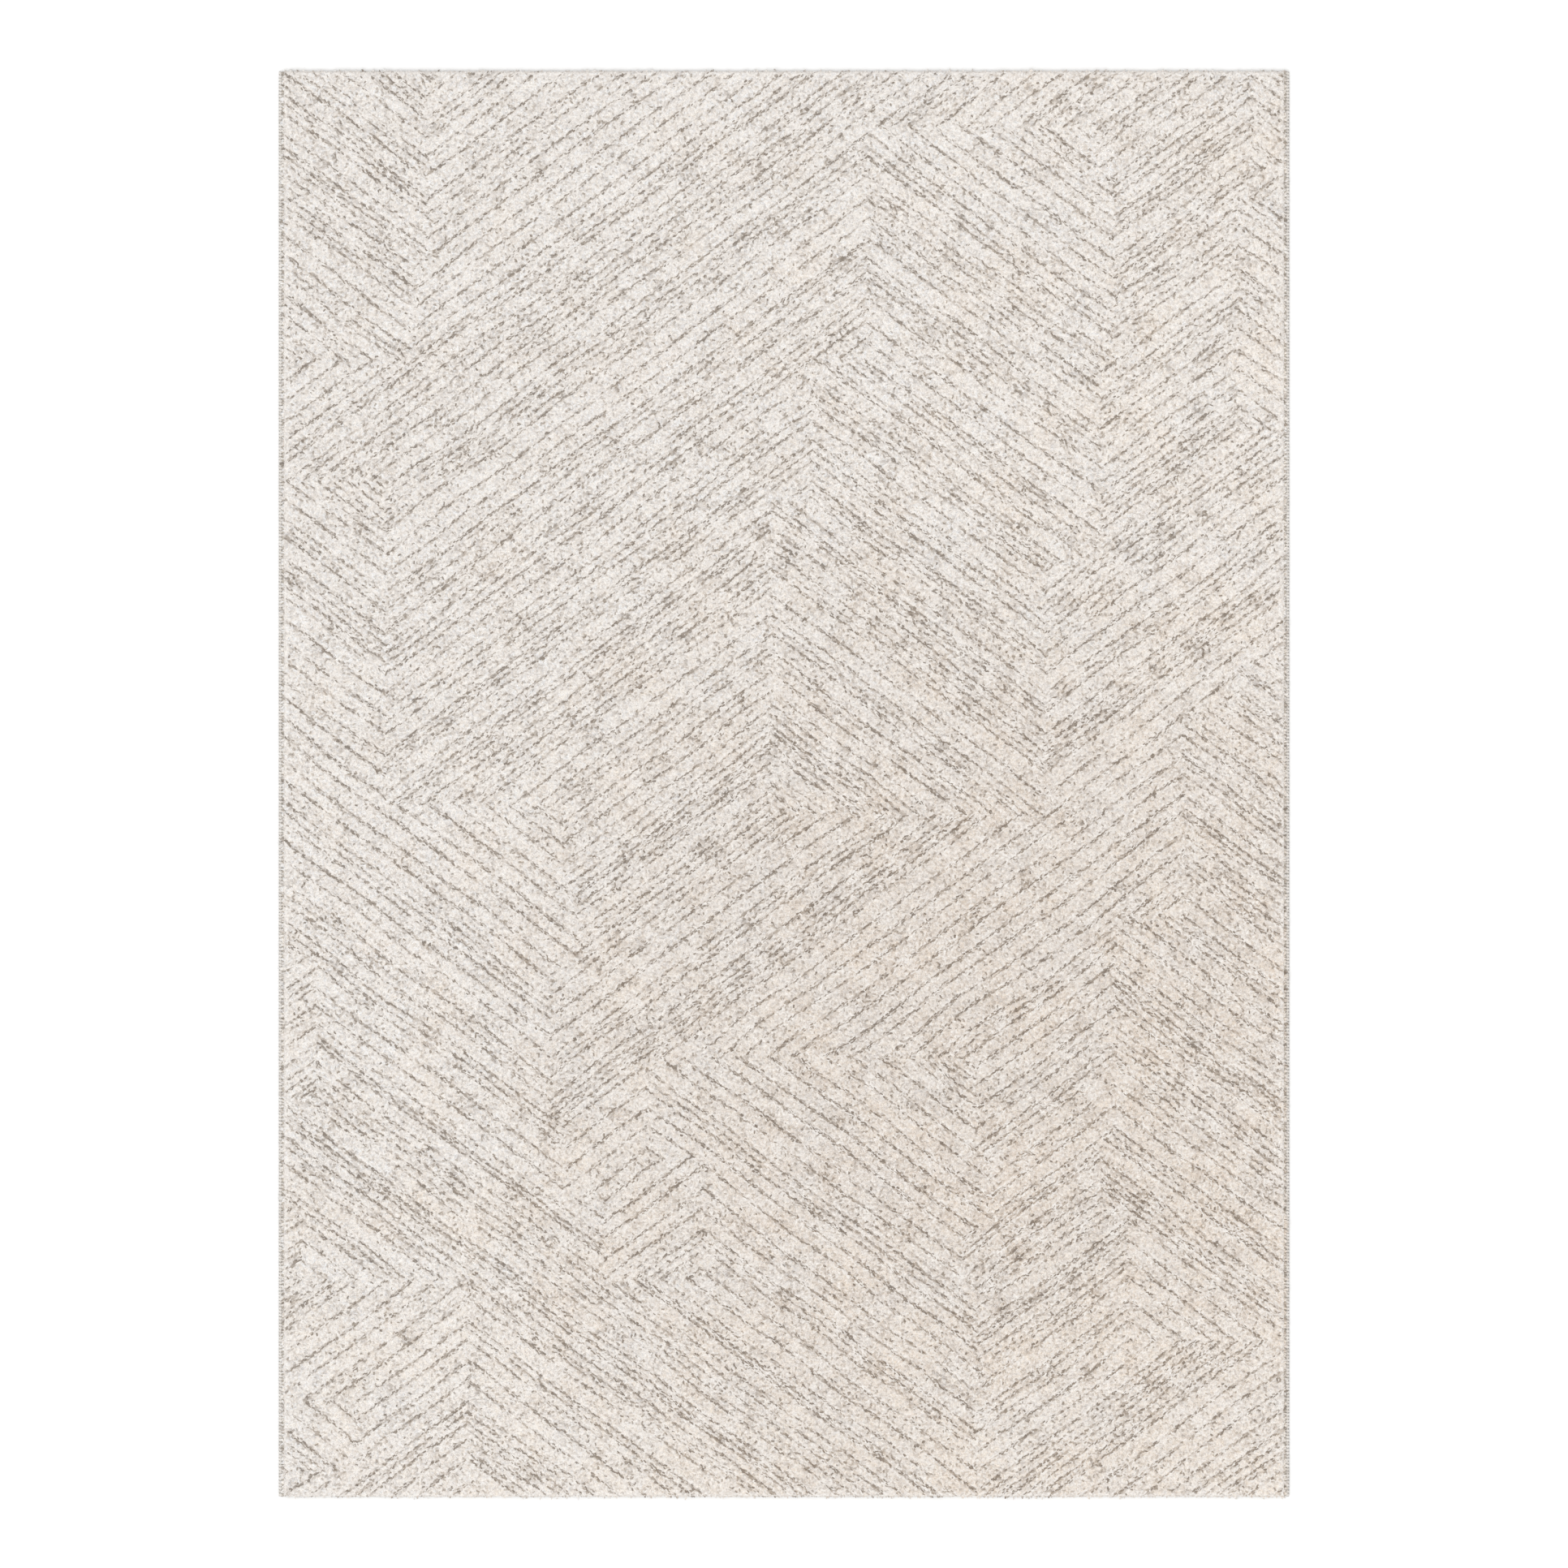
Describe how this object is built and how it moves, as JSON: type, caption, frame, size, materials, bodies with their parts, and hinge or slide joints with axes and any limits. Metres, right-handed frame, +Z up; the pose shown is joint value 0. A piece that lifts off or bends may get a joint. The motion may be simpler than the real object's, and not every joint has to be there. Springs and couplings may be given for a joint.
{
  "type": "area rug",
  "caption": "Rectangular cream and grey-beige area rug with fields of slanted ribs in its pile, overcast sides and taped, turned-under ends.",
  "frame": {"origin": "centre of the rug's footprint, on the floor that it lies on", "axes": "+Z up out of the pile, +Y along the rug's length, +X across it"},
  "size_m": [1.7, 2.4, 0.0138],
  "materials": {
    "pile_yarn": "heathered cream and grey-beige twisted cut pile, matt",
    "ground_cotton": "plain-woven natural cotton, matt",
    "latex_coat": "cast latex coat, dull",
    "backing_jute": "open plain-woven jute, matt",
    "filler_cotton": "soft twisted cotton cord, matt",
    "serging_yarn": "twisted greyish-beige yarn, matt",
    "tape_cotton": "herringbone-woven cotton tape, matt",
    "sewing_thread": "spun polyester thread, slight sheen",
    "label_satin": "blank woven satin, soft sheen"
  },
  "bodies": {
    "root": {"backing_cloth": "backing_jute", "latex_coat": "latex_coat", "ground_cloth": "ground_cotton", "pile_field_main": "pile_yarn", "pile_field_left_block": "pile_yarn", "pile_field_left_corner": "pile_yarn", "pile_field_left_side": "pile_yarn", "pile_field_left_bit": "pile_yarn", "pile_field_centre": "pile_yarn", "pile_field_right_top": "pile_yarn", "pile_field_right_side": "pile_yarn", "left_edge_cord": "filler_cotton", "right_edge_cord": "filler_cotton", "left_serging": "serging_yarn", "right_serging": "serging_yarn", "near_hem_tape": "tape_cotton", "far_hem_tape": "tape_cotton", "near_hem_thread": "sewing_thread", "far_hem_thread": "sewing_thread", "care_label": "label_satin", "label_thread": "sewing_thread"}
  },
  "joints": []
}
